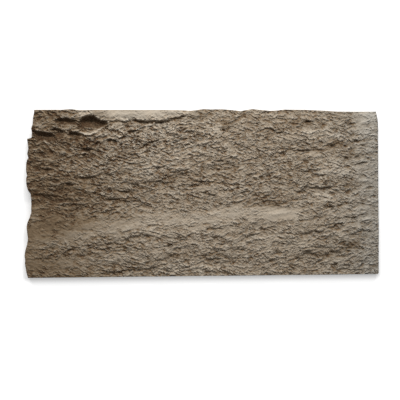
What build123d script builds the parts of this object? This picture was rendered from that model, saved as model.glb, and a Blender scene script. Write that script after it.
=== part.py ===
from build123d import *
import math
import os

# Faux stone wall panel: one moulding with a flat back and a riven rock face.
# It lies on its back: X runs along the panel, Y runs up the wall, Z comes out of the wall.
# The origin is the centre of the back.

# Overall sizes, in millimetres
PANEL_LENGTH = 1200.0  # from the outermost tooth on the left to the straight right edge
PANEL_HEIGHT = 565.0  # from the straight bottom edge to the highest point of the top edge
FACE_LEVEL = 26.0  # thickness where the face has no swell

# Sizes of the edges
TOOTH_DEPTH = 37.5  # how far the ragged left edge is set back at its deepest
TOP_WAVE = 9.0  # how far the top edge dips below its highest point
TOP_RIGHT_SETBACK = 2.0  # how far the right edge leans in at the top corner
TOP_RIGHT_LENGTH = 42.0  # how far down the edge that lean starts
EDGE_ROUNDING = 1.2  # small radius on every corner of the outline
CORNER_ROUNDING = 5.0  # radius of the two right-hand corners

# Sizes of the face
SWELL_RISE = 9.0  # height of the tallest swell above the face level
RIDGE_RISE = 3.5  # height of the tallest of the low ridges between the ledges
POINT_SPACING = 28.0  # distance between the points that the face surface follows
OVERRUN = 30.0  # how far the face surface runs past the outline

# Reach of the cutters that carve the spalls
REACH_DOWN = 4.0  # above and below the ledge, in depths of the spall
REACH_OUT = 2.0  # below the ledge, in runs of the spall's floor
REACH_PAST = 0.1  # past the ends of the ledge, in halves of the ledge
CUTTING_ROUNDS = 5  # neighbours in the list of spalls are cut in different rounds

# The ragged left edge, from the bottom corner to the top corner:
# share of the panel's height, then share of TOOTH_DEPTH
LEFT_EDGE = [
    (0.035, 0.14),
    (0.083, 0.03),
    (0.106, 0.06),
    (0.130, 0.00),
    (0.160, 0.06),
    (0.195, 0.22),
    (0.231, 0.31),
    (0.262, 0.25),
    (0.302, 0.19),
    (0.330, 0.28),
    (0.356, 0.46),
    (0.386, 0.61),
    (0.466, 0.62),
    (0.497, 0.56),
    (0.520, 0.33),
    (0.548, 0.21),
    (0.590, 0.19),
    (0.605, 0.26),
    (0.629, 0.19),
    (0.672, 0.19),
    (0.695, 0.26),
    (0.710, 0.39),
    (0.734, 0.28),
    (0.765, 0.39),
    (0.801, 0.31),
    (0.823, 0.27),
    (0.829, 0.68),
    (0.858, 0.71),
    (0.884, 0.66),
    (0.905, 0.77),
    (0.950, 0.83),
]
BOTTOM_LEFT_IN = 0.29  # share of TOOTH_DEPTH at the bottom corner
TOP_LEFT_IN = 0.96  # share of TOOTH_DEPTH at the top corner

# The top edge, from the left corner to the right corner:
# share of the panel's length, then share of TOP_WAVE
TOP_EDGE = [
    (0.105, 0.34),
    (0.122, 0.12),
    (0.135, 0.14),
    (0.150, 0.38),
    (0.300, 0.36),
    (0.420, 0.42),
    (0.468, 0.66),
    (0.500, 0.06),
    (0.520, 0.16),
    (0.556, 0.10),
    (0.578, 0.34),
    (0.606, 0.78),
    (0.622, 0.40),
    (0.640, 0.00),
    (0.662, 0.30),
    (0.690, 0.70),
    (0.712, 0.56),
    (0.730, 0.22),
    (0.790, 0.30),
    (0.850, 0.62),
    (0.880, 0.94),
    (0.930, 1.00),
]
TOP_LEFT_DIP = 0.34  # share of TOP_WAVE at the left corner
TOP_RIGHT_DIP = 0.96  # share of TOP_WAVE at the right corner

# The broad swells of the face: centre as shares of length and height, tilt in degrees,
# half length as a share of the length, half width as a share of the height, rise as a share
SWELLS = [
    (0.46, 0.24, 4.0, 0.42, 0.15, 0.80),
    (0.24, 0.63, 5.0, 0.30, 0.14, 0.85),
    (0.76, 0.57, 5.0, 0.24, 0.14, 0.60),
    (0.70, 0.85, 3.0, 0.30, 0.10, 0.55),
    (0.34, 0.99, 0.0, 0.16, 0.07, 0.80),
    (0.08, 0.92, -4.0, 0.08, 0.09, 0.60),
    (0.90, 0.26, 6.0, 0.16, 0.13, 0.45),
]

# The low ridges between the ledges, in the same form, with their rise as a share of RIDGE_RISE
RIDGES = [
    (0.689, 0.949, 0.0, 0.062, 0.055, 0.70),
    (0.512, 0.847, -8.0, 0.062, 0.055, 0.85),
    (0.754, 0.841, -12.0, 0.068, 0.055, 0.85),
    (0.872, 0.643, 12.0, 0.085, 0.055, 1.00),
    (0.824, 0.458, 9.0, 0.079, 0.055, 0.85),
    (0.683, 0.350, 2.0, 0.130, 0.055, 1.00),
    (0.407, 0.278, 3.0, 0.130, 0.055, 1.00),
    (0.210, 0.230, 8.0, 0.118, 0.062, 1.00),
    (0.131, 0.649, 2.0, 0.085, 0.062, 0.70),
    (0.357, 0.632, 14.0, 0.090, 0.069, 0.75),
    (0.565, 0.554, 4.0, 0.090, 0.062, 0.75),
    (0.937, 0.745, 10.0, 0.056, 0.062, 0.75),
    (0.283, 0.757, 18.0, 0.073, 0.062, 0.85),
    (0.593, 0.739, -4.0, 0.090, 0.062, 0.85),
    (0.097, 0.350, 0.0, 0.085, 0.062, 0.70),
    (0.847, 0.242, 8.0, 0.073, 0.055, 0.75),
    (0.492, 0.171, 5.0, 0.101, 0.055, 0.75),
    (0.300, 0.111, 8.0, 0.101, 0.055, 0.75),
    (0.932, 0.105, 5.0, 0.056, 0.055, 0.70),
    (0.678, 0.159, 7.0, 0.085, 0.055, 0.75),
]

# The spalls, where flakes broke away below a ledge: depth at the ledge and run of the floor
# in millimetres, then the ledge's line as shares of the panel's length and height
SPALLS = {
    "deep_scoop": (14.0, 48.0, [
        (0.146, 0.922), (0.157, 0.931), (0.163, 0.940), (0.168, 0.955), (0.179, 0.961),
        (0.196, 0.955), (0.204, 0.937), (0.215, 0.930), (0.235, 0.925)]),
    "upper_crevice": (9.0, 26.0, [
        (0.077, 0.926), (0.085, 0.936), (0.101, 0.940), (0.118, 0.942), (0.135, 0.939),
        (0.151, 0.928)]),
    "left_hollow": (9.0, 30.0, [
        (0.016, 0.872), (0.035, 0.874), (0.049, 0.863), (0.065, 0.859), (0.079, 0.847),
        (0.093, 0.825)]),
    "middle_hollow": (6.5, 28.0, [
        (0.115, 0.839), (0.129, 0.862), (0.143, 0.863), (0.154, 0.852), (0.168, 0.830)]),
    "slab_ledge": (8.0, 60.0, [
        (0.232, 0.925), (0.252, 0.928), (0.268, 0.928), (0.285, 0.922), (0.299, 0.934),
        (0.308, 0.938), (0.319, 0.928), (0.338, 0.926), (0.358, 0.920), (0.378, 0.920),
        (0.397, 0.928), (0.420, 0.942), (0.437, 0.953), (0.457, 0.962)]),
    "stepped_ledge": (6.0, 42.0, [
        (0.221, 0.815), (0.237, 0.824), (0.249, 0.818), (0.263, 0.821), (0.274, 0.833),
        (0.285, 0.851), (0.299, 0.866), (0.313, 0.872), (0.333, 0.880)]),
    "small_notch": (6.5, 26.0, [
        (0.156, 0.759), (0.168, 0.767), (0.179, 0.762), (0.190, 0.766), (0.201, 0.780)]),
    "centre_notch": (5.5, 24.0, [
        (0.547, 0.868), (0.558, 0.876), (0.567, 0.890), (0.578, 0.897), (0.589, 0.895)]),
    "right_ledge": (5.0, 38.0, [
        (0.726, 0.768), (0.743, 0.763), (0.763, 0.754), (0.786, 0.751), (0.809, 0.762),
        (0.829, 0.760), (0.849, 0.763), (0.860, 0.774)]),
    "right_flake": (6.0, 30.0, [
        (0.846, 0.786), (0.860, 0.775), (0.872, 0.792), (0.886, 0.800), (0.904, 0.802)]),
    "far_right_ledge": (4.5, 30.0, [
        (0.901, 0.807), (0.918, 0.813), (0.932, 0.809), (0.947, 0.820), (0.961, 0.834)]),
    "right_hollow": (5.5, 40.0, [
        (0.656, 0.486), (0.673, 0.468), (0.688, 0.447), (0.705, 0.431), (0.719, 0.416),
        (0.739, 0.407)]),
    "long_left_ledge": (6.0, 46.0, [
        (0.006, 0.500), (0.034, 0.493), (0.061, 0.490), (0.084, 0.485), (0.103, 0.476),
        (0.122, 0.475), (0.145, 0.486)]),
    "second_left_ledge": (4.5, 40.0, [
        (0.095, 0.433), (0.117, 0.437), (0.144, 0.431), (0.169, 0.434), (0.192, 0.423),
        (0.214, 0.405)]),
    "long_crack": (5.5, 54.0, [
        (0.225, 0.455), (0.245, 0.462), (0.267, 0.460), (0.289, 0.451), (0.309, 0.456),
        (0.326, 0.446), (0.340, 0.430), (0.354, 0.409), (0.368, 0.394)]),
    "middle_band": (4.5, 38.0, [
        (0.340, 0.555), (0.357, 0.570), (0.377, 0.572), (0.396, 0.563), (0.419, 0.567),
        (0.441, 0.557)]),
    "upper_band": (4.5, 34.0, [
        (0.377, 0.597), (0.396, 0.599), (0.416, 0.602), (0.436, 0.614), (0.456, 0.619),
        (0.481, 0.608)]),
    "centre_ledge": (4.5, 40.0, [
        (0.481, 0.641), (0.501, 0.648), (0.521, 0.659), (0.541, 0.672), (0.563, 0.672),
        (0.586, 0.663), (0.611, 0.649)]),
    "lower_band": (6.0, 46.0, [
        (0.457, 0.094), (0.485, 0.100), (0.513, 0.097), (0.542, 0.103), (0.570, 0.108),
        (0.596, 0.110), (0.624, 0.105)]),
    "lower_left_band": (5.0, 40.0, [
        (0.210, 0.022), (0.235, 0.029), (0.260, 0.031), (0.283, 0.044), (0.311, 0.046),
        (0.339, 0.046), (0.372, 0.060)]),
    "lower_right_notch": (5.0, 34.0, [
        (0.884, 0.042), (0.907, 0.032), (0.927, 0.026), (0.947, 0.032), (0.968, 0.040)]),
    "corner_crack": (4.0, 34.0, [
        (0.061, 0.161), (0.074, 0.131), (0.091, 0.117), (0.110, 0.125), (0.130, 0.135),
        (0.149, 0.142)]),
    "peak_notch": (5.0, 26.0, [
        (0.775, 0.913), (0.789, 0.922), (0.800, 0.934), (0.809, 0.922), (0.823, 0.909)]),
    "upper_right_ledge": (4.5, 36.0, [
        (0.861, 0.918), (0.881, 0.909), (0.895, 0.897), (0.912, 0.906), (0.927, 0.915),
        (0.950, 0.918)]),
    "upper_centre_ledge": (4.0, 32.0, [
        (0.601, 0.907), (0.615, 0.919), (0.632, 0.919), (0.646, 0.913), (0.666, 0.916)]),
    "upper_flake": (4.0, 30.0, [
        (0.686, 0.922), (0.706, 0.913), (0.723, 0.916), (0.749, 0.916), (0.775, 0.919)]),
    "centre_step": (4.0, 32.0, [
        (0.666, 0.880), (0.686, 0.883), (0.709, 0.868), (0.737, 0.861)]),
    "left_lip": (5.0, 30.0, [
        (0.015, 0.739), (0.035, 0.745), (0.062, 0.742), (0.076, 0.745), (0.093, 0.727)]),
    "left_shelf": (4.5, 32.0, [
        (0.018, 0.668), (0.040, 0.674), (0.062, 0.680), (0.084, 0.668), (0.101, 0.659)]),
    "inner_left_shelf": (4.5, 34.0, [
        (0.093, 0.721), (0.112, 0.724), (0.131, 0.706), (0.154, 0.730), (0.173, 0.738),
        (0.198, 0.738)]),
    "quarter_step": (4.0, 34.0, [
        (0.414, 0.794), (0.436, 0.785), (0.459, 0.787), (0.487, 0.784), (0.515, 0.802)]),
    "quarter_hollow": (4.5, 30.0, [
        (0.439, 0.853), (0.459, 0.859), (0.473, 0.871), (0.490, 0.853), (0.507, 0.835)]),
    "knee_ledge": (5.0, 36.0, [
        (0.321, 0.734), (0.341, 0.743), (0.360, 0.716), (0.386, 0.722), (0.408, 0.737),
        (0.428, 0.740)]),
    "inner_notch": (5.0, 32.0, [
        (0.352, 0.645), (0.366, 0.657), (0.380, 0.654), (0.399, 0.662)]),
    "inner_shelf": (4.5, 36.0, [
        (0.248, 0.518), (0.270, 0.511), (0.292, 0.511), (0.315, 0.529), (0.337, 0.523)]),
    "inner_rise": (4.0, 38.0, [
        (0.145, 0.578), (0.167, 0.596), (0.192, 0.601), (0.217, 0.625), (0.234, 0.613),
        (0.254, 0.595)]),
    "left_fall": (4.0, 38.0, [
        (0.087, 0.546), (0.106, 0.561), (0.123, 0.561), (0.145, 0.531), (0.164, 0.507)]),
    "centre_hollow": (4.5, 34.0, [
        (0.486, 0.509), (0.506, 0.497), (0.523, 0.485), (0.546, 0.502), (0.566, 0.508)]),
    "centre_shelf": (4.0, 34.0, [
        (0.614, 0.604), (0.631, 0.603), (0.651, 0.579), (0.668, 0.594), (0.688, 0.594)]),
    "slanting_ledge": (5.0, 40.0, [
        (0.774, 0.617), (0.800, 0.629), (0.817, 0.596), (0.840, 0.602), (0.863, 0.617)]),
    "right_middle_ledge": (5.0, 40.0, [
        (0.751, 0.509), (0.768, 0.503), (0.791, 0.536), (0.817, 0.529), (0.842, 0.523),
        (0.877, 0.490)]),
    "right_upper_band": (4.5, 34.0, [
        (0.889, 0.719), (0.912, 0.707), (0.932, 0.664), (0.955, 0.679), (0.978, 0.682)]),
    "right_lower_band": (4.5, 36.0, [
        (0.828, 0.418), (0.851, 0.414), (0.874, 0.411), (0.902, 0.432)]),
    "right_edge_ledge": (4.0, 34.0, [
        (0.888, 0.511), (0.911, 0.507), (0.934, 0.486), (0.958, 0.513), (0.981, 0.534),
        (1.001, 0.527)]),
    "far_band": (4.5, 36.0, [
        (0.885, 0.344), (0.908, 0.353), (0.925, 0.344), (0.951, 0.362), (0.977, 0.358)]),
    "far_low_ledge": (4.5, 34.0, [
        (0.902, 0.241), (0.925, 0.244), (0.951, 0.247), (0.980, 0.243)]),
    "arch": (4.5, 32.0, [
        (0.850, 0.282), (0.868, 0.293), (0.882, 0.314), (0.893, 0.308), (0.911, 0.284)]),
    "low_right_ledge": (4.5, 36.0, [
        (0.758, 0.259), (0.781, 0.253), (0.807, 0.261), (0.821, 0.219), (0.839, 0.212)]),
    "low_centre_ledge": (4.5, 36.0, [
        (0.627, 0.318), (0.653, 0.306), (0.670, 0.279), (0.690, 0.293), (0.716, 0.299)]),
    "low_centre_fall": (4.0, 34.0, [
        (0.613, 0.201), (0.633, 0.210), (0.650, 0.216), (0.664, 0.197)]),
    "grey_hollow": (4.0, 32.0, [
        (0.508, 0.290), (0.528, 0.284), (0.562, 0.286), (0.591, 0.316)]),
    "low_middle_ledge": (4.5, 36.0, [
        (0.390, 0.191), (0.409, 0.169), (0.443, 0.175), (0.466, 0.192), (0.494, 0.183)]),
    "low_inner_ledge": (4.5, 36.0, [
        (0.356, 0.105), (0.378, 0.098), (0.398, 0.119), (0.423, 0.127), (0.446, 0.139)]),
    "low_left_crack": (4.0, 34.0, [
        (0.261, 0.202), (0.283, 0.228), (0.300, 0.237), (0.328, 0.254), (0.353, 0.245),
        (0.373, 0.245)]),
    "low_right_step": (4.5, 36.0, [
        (0.833, 0.116), (0.856, 0.140), (0.884, 0.142), (0.902, 0.111), (0.919, 0.108)]),
    "low_right_shelf": (4.5, 34.0, [
        (0.752, 0.108), (0.772, 0.102), (0.795, 0.147), (0.821, 0.125), (0.835, 0.110)]),
    "low_right_band": (4.5, 32.0, [
        (0.850, 0.058), (0.873, 0.067), (0.899, 0.057), (0.919, 0.057), (0.942, 0.056),
        (0.968, 0.068)]),
    "low_shelf": (4.0, 34.0, [
        (0.536, 0.158), (0.559, 0.151), (0.582, 0.166), (0.604, 0.160), (0.627, 0.168)]),
    "left_brow": (4.5, 26.0, [
        (0.068, 0.869), (0.082, 0.884), (0.096, 0.884), (0.107, 0.872), (0.121, 0.854)]),
    "crescent_ledge": (6.0, 48.0, [
        (0.129, 0.881), (0.151, 0.863), (0.168, 0.845), (0.182, 0.842), (0.196, 0.848),
        (0.210, 0.869)]),
}

LEFT = -PANEL_LENGTH / 2
RIGHT = PANEL_LENGTH / 2
BOTTOM = -PANEL_HEIGHT / 2
TOP = PANEL_HEIGHT / 2


def outline_points():
    """The corners of the outline, counter-clockwise from the bottom left."""
    points = [(LEFT + BOTTOM_LEFT_IN * TOOTH_DEPTH, BOTTOM), (RIGHT, BOTTOM)]
    points.append((RIGHT, TOP - TOP_RIGHT_DIP * TOP_WAVE - TOP_RIGHT_LENGTH))
    points.append((RIGHT - TOP_RIGHT_SETBACK, TOP - TOP_RIGHT_DIP * TOP_WAVE))
    for along, dip in reversed(TOP_EDGE):
        points.append((LEFT + along * PANEL_LENGTH, TOP - dip * TOP_WAVE))
    points.append((LEFT + TOP_LEFT_IN * TOOTH_DEPTH, TOP - TOP_LEFT_DIP * TOP_WAVE))
    for up, setback in reversed(LEFT_EDGE):
        points.append((LEFT + setback * TOOTH_DEPTH, BOTTOM + up * PANEL_HEIGHT))
    return points


def outline_radii(points):
    """One radius for each corner: the right-hand corners are rounder than the rest."""
    radii = [EDGE_ROUNDING] * len(points)
    radii[1] = CORNER_ROUNDING
    radii[3] = CORNER_ROUNDING
    return radii


def blank():
    """The moulding before its face is carved: the outline, drawn up past the tallest swell."""
    points = outline_points()
    with BuildPart() as part:
        with BuildSketch():
            with BuildLine():
                FilletPolyline(*points, radius=outline_radii(points), close=True)
            make_face()
        extrude(amount=FACE_LEVEL + SWELL_RISE + OVERRUN)
    return part.part


def swell_height(x, y):
    """Rise of the broad swells and the low ridges at a point of the panel."""
    height = 0.0
    for full_rise, forms in ((SWELL_RISE, SWELLS), (RIDGE_RISE, RIDGES)):
        for along, up, tilt, half_length, half_width, rise in forms:
            dx = x - LEFT - along * PANEL_LENGTH
            dy = y - BOTTOM - up * PANEL_HEIGHT
            turn = math.radians(tilt)
            lengthwise = (dx * math.cos(turn) + dy * math.sin(turn)) / (half_length * PANEL_LENGTH)
            crosswise = (dy * math.cos(turn) - dx * math.sin(turn)) / (half_width * PANEL_HEIGHT)
            height += rise * full_rise * math.exp(-(lengthwise**2) - crosswise**2)
    return height


def face_height(x, y):
    """Height of the unbroken face above the back."""
    return FACE_LEVEL + swell_height(x, y)


def stations(low, high):
    """Evenly spaced places from low to high, about POINT_SPACING apart."""
    steps = math.ceil((high - low) / POINT_SPACING)
    return [low + step * (high - low) / steps for step in range(steps + 1)]


def above_face():
    """The space above the unbroken face, as one solid to cut away."""
    columns = stations(LEFT - OVERRUN, RIGHT + OVERRUN)
    rows = stations(BOTTOM - OVERRUN, TOP + OVERRUN)
    points = [[(x, y, face_height(x, y)) for x in columns] for y in rows]
    surface = Face.make_surface_from_array_of_points(points)
    return Solid.extrude(surface, (0, 0, SWELL_RISE + 2 * OVERRUN))


def spall(depth, run, ledge):
    """One flake's hollow: a round-bottomed trough that dips to the ledge and ends at its wall.

    The trough's floor meets the face at both ends of the ledge and one run below it."""
    line = [Vector(LEFT + along * PANEL_LENGTH, BOTTOM + up * PANEL_HEIGHT) for along, up in ledge]
    start = line[0]
    end = line[-1]
    middle = (start + end) / 2
    chord = end - start
    half_width = chord.length / 2
    across = Vector(-chord.Y, chord.X).normalized()
    toe = middle - across * run
    height = (face_height(start.X, start.Y) + face_height(end.X, end.Y)) / 2
    fall_along = (face_height(start.X, start.Y) - face_height(end.X, end.Y)) / chord.length
    fall_across = (face_height(toe.X, toe.Y) - height + depth) / run

    radius = (half_width**2 + depth**2) / (2 * depth)
    trough = Pos(0, 0, radius) * Rot(90, 0, 0) * Cylinder(radius, 3 * REACH_OUT * run)
    pitch = -math.degrees(math.atan(fall_across))
    roll = math.degrees(math.atan(fall_along))
    turn = math.degrees(math.atan2(chord.Y, chord.X))
    floor = Pos(middle.X, middle.Y, height - depth) * Rot(0, 0, turn) * Rot(pitch, roll, 0) * trough

    sideways = chord.normalized() * half_width * REACH_PAST
    downwards = across * run * REACH_OUT
    line += [end + sideways - downwards, start - sideways - downwards]
    below_ledge = extrude(make_face(Polyline(*line, close=True)), amount=REACH_DOWN * depth, both=True)
    return floor & (Pos(0, 0, height) * below_ledge)


def stone_panel():
    """The whole moulding."""
    panel = blank() - above_face()
    spalls = [spall(*values) for values in SPALLS.values()]
    for first in range(CUTTING_ROUNDS):
        panel = panel - spalls[first::CUTTING_ROUNDS]
    return panel


os.makedirs("parts", exist_ok=True)
panel = stone_panel()
panel.label = "stone_panel"
export_step(panel, "parts/stone_panel.step")
box = panel.bounding_box()
print("solids", len(panel.solids()), "faces", len(panel.faces()), "volume", round(panel.volume))
print("size", [round(value, 2) for value in box.size], "lowest corner", [round(value, 2) for value in box.min])
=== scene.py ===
import math

import bpy
import numpy as np
from mathutils import Matrix, Vector
from mathutils.bvhtree import BVHTree


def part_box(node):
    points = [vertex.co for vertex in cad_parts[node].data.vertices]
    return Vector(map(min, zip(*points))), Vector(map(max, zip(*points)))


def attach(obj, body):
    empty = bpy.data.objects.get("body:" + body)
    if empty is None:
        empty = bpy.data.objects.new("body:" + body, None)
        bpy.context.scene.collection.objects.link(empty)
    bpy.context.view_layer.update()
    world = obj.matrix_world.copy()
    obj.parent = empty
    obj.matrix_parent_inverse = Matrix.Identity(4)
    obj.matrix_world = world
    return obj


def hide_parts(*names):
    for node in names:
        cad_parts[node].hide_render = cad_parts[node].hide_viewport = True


# The look of the faux stone wall panel: its riven face, painted finish, camera, lights and floor.
# Lengths of the scene are in metres. The relief is worked out in millimetres on a fine grid
# that lies over the face, and is turned into metres when the mesh is made.
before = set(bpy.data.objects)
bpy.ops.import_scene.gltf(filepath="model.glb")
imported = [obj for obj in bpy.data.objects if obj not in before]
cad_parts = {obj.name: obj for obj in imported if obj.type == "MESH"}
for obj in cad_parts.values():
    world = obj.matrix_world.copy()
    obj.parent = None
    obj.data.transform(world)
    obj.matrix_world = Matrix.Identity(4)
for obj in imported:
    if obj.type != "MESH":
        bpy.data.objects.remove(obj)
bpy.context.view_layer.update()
MM = 0.001

# Mesh of the panel
COLUMNS = 364  # points along the panel
ROWS = 256  # points up the panel
WALL_ROWS = 4  # rings of faces down each side wall
THINNEST = 2.0  # least height of the face above the back, in millimetres
TOOTH_REACH = 110.0  # how far in the mesh follows the ragged edges, in millimetres
EDGE_ROUNDS = 3  # of fitting the mesh to them, as the side edges depend on the top one

# Fine grid of the relief, in millimetres
STEP_X = 1.25
STEP_Y = 1.0
MARGIN = 12.0  # how far the grid runs past the panel
COARSE_X = 3.0  # steps at which the solid's face is probed
COARSE_Y = 2.0
CAD_SOFTENING = 0.4  # share by which the solid's crisp ledges are worn off
INSET = 0.6  # keeps a probe inside the solid
TOP_CLEAR = 10.0  # how far below its highest point the side edges are read up to
LEFT_CLEAR = 40.0  # how far from its left end the top edge is read from
PROBE_HEIGHT = 4.0  # where the outline of the solid is probed
SIDE_PROBES, TOP_PROBES = 560, 800  # at how many places

# Photograph's view
PHOTO_SIZE = 400
PANEL_CENTRE_PX = (203.4, 192.5)  # where the middle of the panel would show from straight above
MM_PER_PX = 3.382  # at the middle of the panel
CAMERA_DISTANCE = 3.2
CAMERA_YAW = math.radians(3.67)  # towards the left, which is a little nearer
CAMERA_ROLL = math.radians(0.34)  # the right-hand end shows a little higher
FACE_HEIGHT = 0.024  # height that the view is measured at
SENSOR_WIDTH = 36.0

VIEW_AWAY = Vector((-math.sin(CAMERA_YAW), 0, math.cos(CAMERA_YAW)))
VIEW_LEVEL = Vector((math.cos(CAMERA_YAW), 0, math.sin(CAMERA_YAW)))
VIEW_RIGHT = VIEW_LEVEL * math.cos(CAMERA_ROLL) - Vector((0, 1, 0)) * math.sin(CAMERA_ROLL)
VIEW_UP = Vector((0, 1, 0)) * math.cos(CAMERA_ROLL) + VIEW_LEVEL * math.sin(CAMERA_ROLL)
VIEW_AIM = Vector(((PHOTO_SIZE / 2 - PANEL_CENTRE_PX[0]) * MM_PER_PX * MM,
                   (PANEL_CENTRE_PX[1] - PHOTO_SIZE / 2) * MM_PER_PX * MM, FACE_HEIGHT))
VIEW_EYE = VIEW_AIM + VIEW_AWAY * CAMERA_DISTANCE

# Light
KEY_ELEVATION = math.radians(38.0)
KEY_DISTANCE = 2.8
KEY_SIZE = (3.6, 0.5)  # wide along the panel, narrow across it
KEY_ASIDE = -0.35  # how far the key stands to the left
KEY_POWER = 120.0
SKY_STRENGTH = 0.28

# Floor, in metres
FLOOR_HALF = 6.0
FLOOR_GAP = 0.0004  # how far it lies below the panel's back
FLOOR_COLOUR = (0.8, 0.8, 0.8, 1)

# Glow of the floor, which lights nothing and makes it render white round the shadow. It is weaker close to
# the panel's sides, so the floor there is darker: painted shade that deepens the shadow near the panel
GLOW_NEAR = 0.30  # at the panel's sides, where the weaker glow is painted shade
GLOW_FAR = 0.78
GLOW_REACH = 0.030  # how far from the sides it grows


def on_face(px, py):
    """The place on the panel's face, in millimetres, that shows at a pixel of the photograph."""
    across = (px - PHOTO_SIZE / 2) * MM_PER_PX * MM
    down = (py - PHOTO_SIZE / 2) * MM_PER_PX * MM
    ray = VIEW_RIGHT * across - VIEW_UP * down - VIEW_AWAY * CAMERA_DISTANCE
    place = VIEW_EYE + ray * ((FACE_HEIGHT - VIEW_EYE.z) / ray.z)
    return place.x / MM, place.y / MM


def smooth(share):
    """Eases a share between 0 and 1."""
    share = np.clip(share, 0.0, 1.0)
    return share * share * (3 - 2 * share)


def wander(x, y, cell_x, cell_y, seed):
    """Smooth gradient noise of about -1 to 1, with waves about two cells long."""
    rng = np.random.default_rng(seed)
    across, up = x / cell_x, y / cell_y
    column, row = np.floor(across).astype(int), np.floor(up).astype(int)
    across, up = across - column, up - row
    column, row = column - column.min(), row - row.min()
    angles = rng.uniform(0, 2 * np.pi, (row.max() + 2, column.max() + 2))
    slope_x, slope_y = np.cos(angles), np.sin(angles)
    ease_x = across**3 * (across * (across * 6 - 15) + 10)
    ease_y = up**3 * (up * (up * 6 - 15) + 10)
    total = 0.0
    for dy in (0, 1):
        for dx in (0, 1):
            share = (ease_x if dx else 1 - ease_x) * (ease_y if dy else 1 - ease_y)
            corner = (row + dy, column + dx)
            total = total + share * (slope_x[corner] * (across - dx) + slope_y[corner] * (up - dy))
    return 1.5 * total


def facets(x, y, cell_x, cell_y, seed, tilt, spread):
    """Flat facets, one for each cell of a loose brick pattern, as heights in cells.

    Each facet rises towards its lower edge by tilt and leans at random by spread."""
    rng = np.random.default_rng(seed)
    across, up = x / cell_x, y / cell_y
    row = np.floor(up).astype(int)
    row_start, row_count = row.min() - 1, row.max() - row.min() + 3
    column_start = int(np.floor(across.min())) - 2
    column_count = int(np.floor(across.max())) - column_start + 4
    shape = (row_count, column_count)
    jitter_x, jitter_y = rng.uniform(-0.45, 0.45, shape), rng.uniform(-0.4, 0.4, shape)
    level = rng.normal(0, 0.5 * spread, shape)
    lean_x, lean_y = rng.normal(0, spread, shape), -tilt + rng.normal(0, spread, shape)
    nearest = np.full(x.shape, np.inf)
    height = np.zeros(x.shape)
    for dy in (-1, 0, 1):
        shift = 0.5 * ((row + dy) % 2)
        column = np.floor(across - shift).astype(int)
        for dx in (-1, 0, 1):
            cell = (row + dy - row_start, column + dx - column_start)
            off_x = across - shift - (column + dx) - 0.5 - jitter_x[cell]
            off_y = up - (row + dy) - 0.5 - jitter_y[cell]
            gap = off_x**2 + off_y**2
            plane = level[cell] + lean_x[cell] * off_x + lean_y[cell] * off_y
            height = np.where(gap < nearest, plane, height)
            nearest = np.minimum(gap, nearest)
    return height


def cad_reader(node):
    """The box of the CAD solid in millimetres, and functions that read its edges and its face."""
    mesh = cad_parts[node].data
    tree = BVHTree.FromPolygons([v.co for v in mesh.vertices], [p.vertices for p in mesh.polygons])
    low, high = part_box(node)
    level = PROBE_HEIGHT * MM
    outside = 0.1

    def hit(start, heading):
        return tree.ray_cast(Vector(start), Vector(heading))[0]

    def left_edge(y):
        return hit((low.x - outside, y * MM, level), (1, 0, 0)).x / MM

    def right_edge(y):
        return hit((high.x + outside, y * MM, level), (-1, 0, 0)).x / MM

    def top_edge(x):
        return hit((x * MM, high.y + outside, level), (0, -1, 0)).y / MM

    def face(x, y):
        return hit((x * MM, y * MM, high.z + outside), (0, 0, -1)).z / MM

    return low / MM, high / MM, left_edge, right_edge, top_edge, face


LOW, HIGH, left_edge, right_edge, top_edge, face_height = cad_reader("stone_panel")


def outline(edge, places):
    """An edge of the solid, read once at many places, as a function that gives it anywhere."""
    line = np.array([edge(place) for place in places])
    return lambda place: np.interp(place, places, line)


edge_y = np.linspace(LOW.y + INSET, HIGH.y - TOP_CLEAR, SIDE_PROBES)
left_at = outline(left_edge, edge_y)
right_at = outline(right_edge, edge_y)
top_at = outline(top_edge, np.linspace(LOW.x + LEFT_CLEAR, HIGH.x - INSET, TOP_PROBES))

# The fine grid
grid_x = np.arange(LOW.x - MARGIN, HIGH.x + MARGIN, STEP_X)
grid_y = np.arange(LOW.y - MARGIN, HIGH.y + MARGIN, STEP_Y)
X, Y = np.meshgrid(grid_x, grid_y)

# Sizes of the cells of the random shifts, in millimetres
WIDE_CELL = (30, 16)
SMALL_CELL = (11, 8)
FINE_CELL = (4.5, 3.5)


def shifted(line, *waves):
    """A coordinate of the grid, moved about by waves: how far in millimetres, their cells and their seed."""
    for reach, cell, seed in waves:
        line = line + reach * wander(X, Y, *cell, seed)
    return line


# The same grid shifted about at random: strongly for the scattered flakes, lightly for the ledges
WX = shifted(X, (7, WIDE_CELL, 21), (3.5, SMALL_CELL, 22), (1.5, FINE_CELL, 23))
WY = shifted(Y, (3.5, WIDE_CELL, 24), (2.2, SMALL_CELL, 25), (1.2, FINE_CELL, 26))
LX = shifted(X, (2.2, SMALL_CELL, 27), (1.2, FINE_CELL, 28))
LY = shifted(Y, (2.0, SMALL_CELL, 29), (1.4, FINE_CELL, 19))


def bilinear(field, across, up):
    """Reads a field at places counted in its columns and rows."""
    across = np.clip(across, 0, field.shape[1] - 1.001)
    up = np.clip(up, 0, field.shape[0] - 1.001)
    column, row = across.astype(int), up.astype(int)
    across, up = across - column, up - row
    low_row = field[row, column] * (1 - across) + field[row, column + 1] * across
    high_row = field[row + 1, column] * (1 - across) + field[row + 1, column + 1] * across
    return low_row * (1 - up) + high_row * up


def sample(field, x, y):
    """Reads a field of the fine grid at places in millimetres."""
    return bilinear(field, (x - grid_x[0]) / STEP_X, (y - grid_y[0]) / STEP_Y)


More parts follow.
